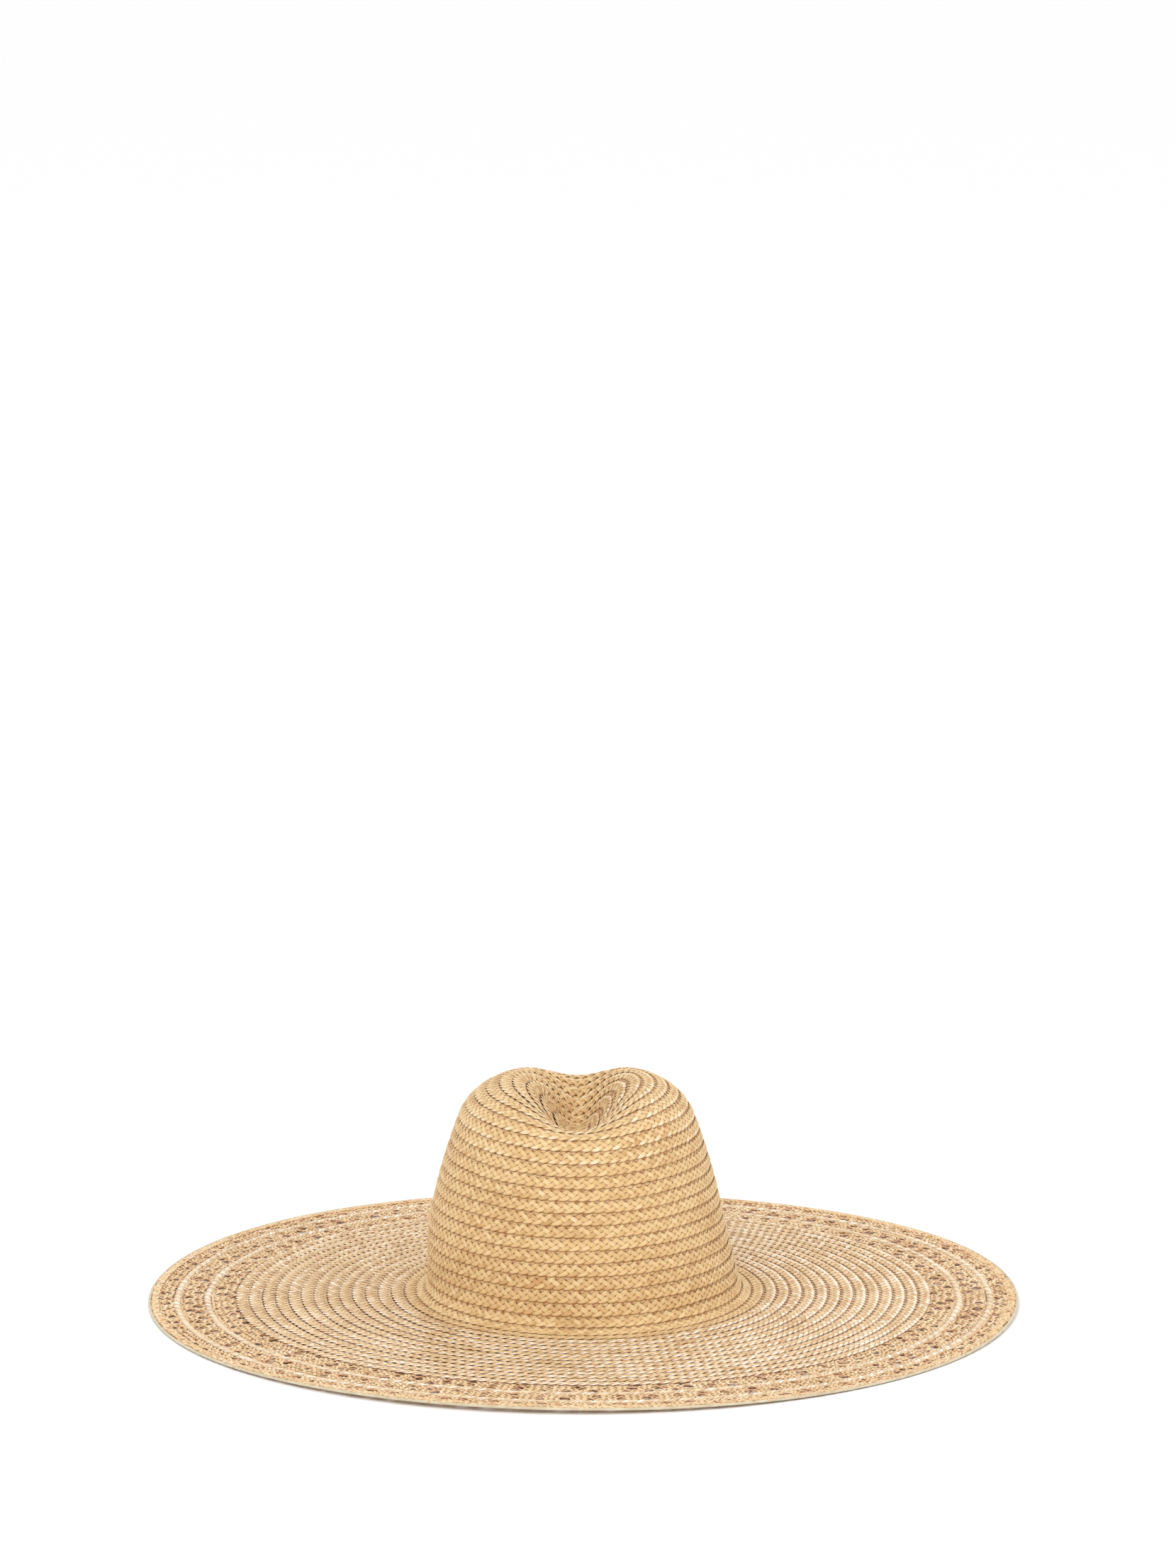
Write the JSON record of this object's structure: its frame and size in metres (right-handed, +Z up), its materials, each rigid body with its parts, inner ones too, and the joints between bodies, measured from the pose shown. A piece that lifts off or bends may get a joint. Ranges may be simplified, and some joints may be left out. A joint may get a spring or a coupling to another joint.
{
  "type": "straw sun hat",
  "caption": "Wide-brimmed straw sun hat sewn from lapped rounds of flat raffia braid, with a centre-dent crown, openwork bands and twisted cords near the rim, and a ribbon sweatband inside.",
  "frame": {"origin": "under the middle of the hat, on the plane its rim rests on", "axes": "+Z up through the crown, Y from the back of the hat (-Y, the dent's wide end) to its front, X across it"},
  "size_m": [0.4694, 0.4964, 0.121],
  "materials": {
    "crown_braid": "natural raffia, satin",
    "brim_braid": "natural raffia, satin",
    "lace": "natural raffia, satin",
    "cord": "pale raffia, matte",
    "edge_wire": "translucent nylon",
    "ribbon": "grosgrain, matte",
    "thread": "cotton, matte"
  },
  "bodies": {
    "root": {"crown_button": "crown_braid", "tip_round_01": "crown_braid", "tip_round_02": "crown_braid", "tip_round_03": "crown_braid", "tip_round_04": "crown_braid", "tip_round_05": "crown_braid", "tip_round_06": "crown_braid", "tip_round_07": "crown_braid", "tip_round_08": "crown_braid", "tip_round_09": "crown_braid", "tip_round_10": "crown_braid", "side_round_01": "crown_braid", "side_round_02": "crown_braid", "side_round_03": "crown_braid", "side_round_04": "crown_braid", "side_round_05": "crown_braid", "side_round_06": "crown_braid", "side_round_07": "crown_braid", "side_round_08": "crown_braid", "side_round_09": "crown_braid", "side_round_10": "crown_braid", "side_round_11": "crown_braid", "side_round_12": "crown_braid", "side_round_13": "crown_braid", "side_round_14": "crown_braid", "side_round_15": "crown_braid", "brim_round_01": "brim_braid", "brim_round_02": "brim_braid", "brim_round_03": "brim_braid", "brim_round_04": "brim_braid", "brim_round_05": "brim_braid", "brim_round_06": "brim_braid", "brim_round_07": "brim_braid", "brim_round_08": "brim_braid", "brim_round_09": "brim_braid", "brim_round_10": "brim_braid", "brim_round_11": "brim_braid", "brim_round_12": "brim_braid", "brim_round_13": "brim_braid", "lace_band_inner": "lace", "lace_band_middle": "lace", "lace_band_outer": "lace", "ridge_cord_inner": "cord", "ridge_cord_outer": "cord", "edge_braid": "brim_braid", "edge_wire": "edge_wire", "sweatband": "ribbon", "sweatband_join": "ribbon", "sweatband_stitches": "thread"}
  },
  "joints": []
}
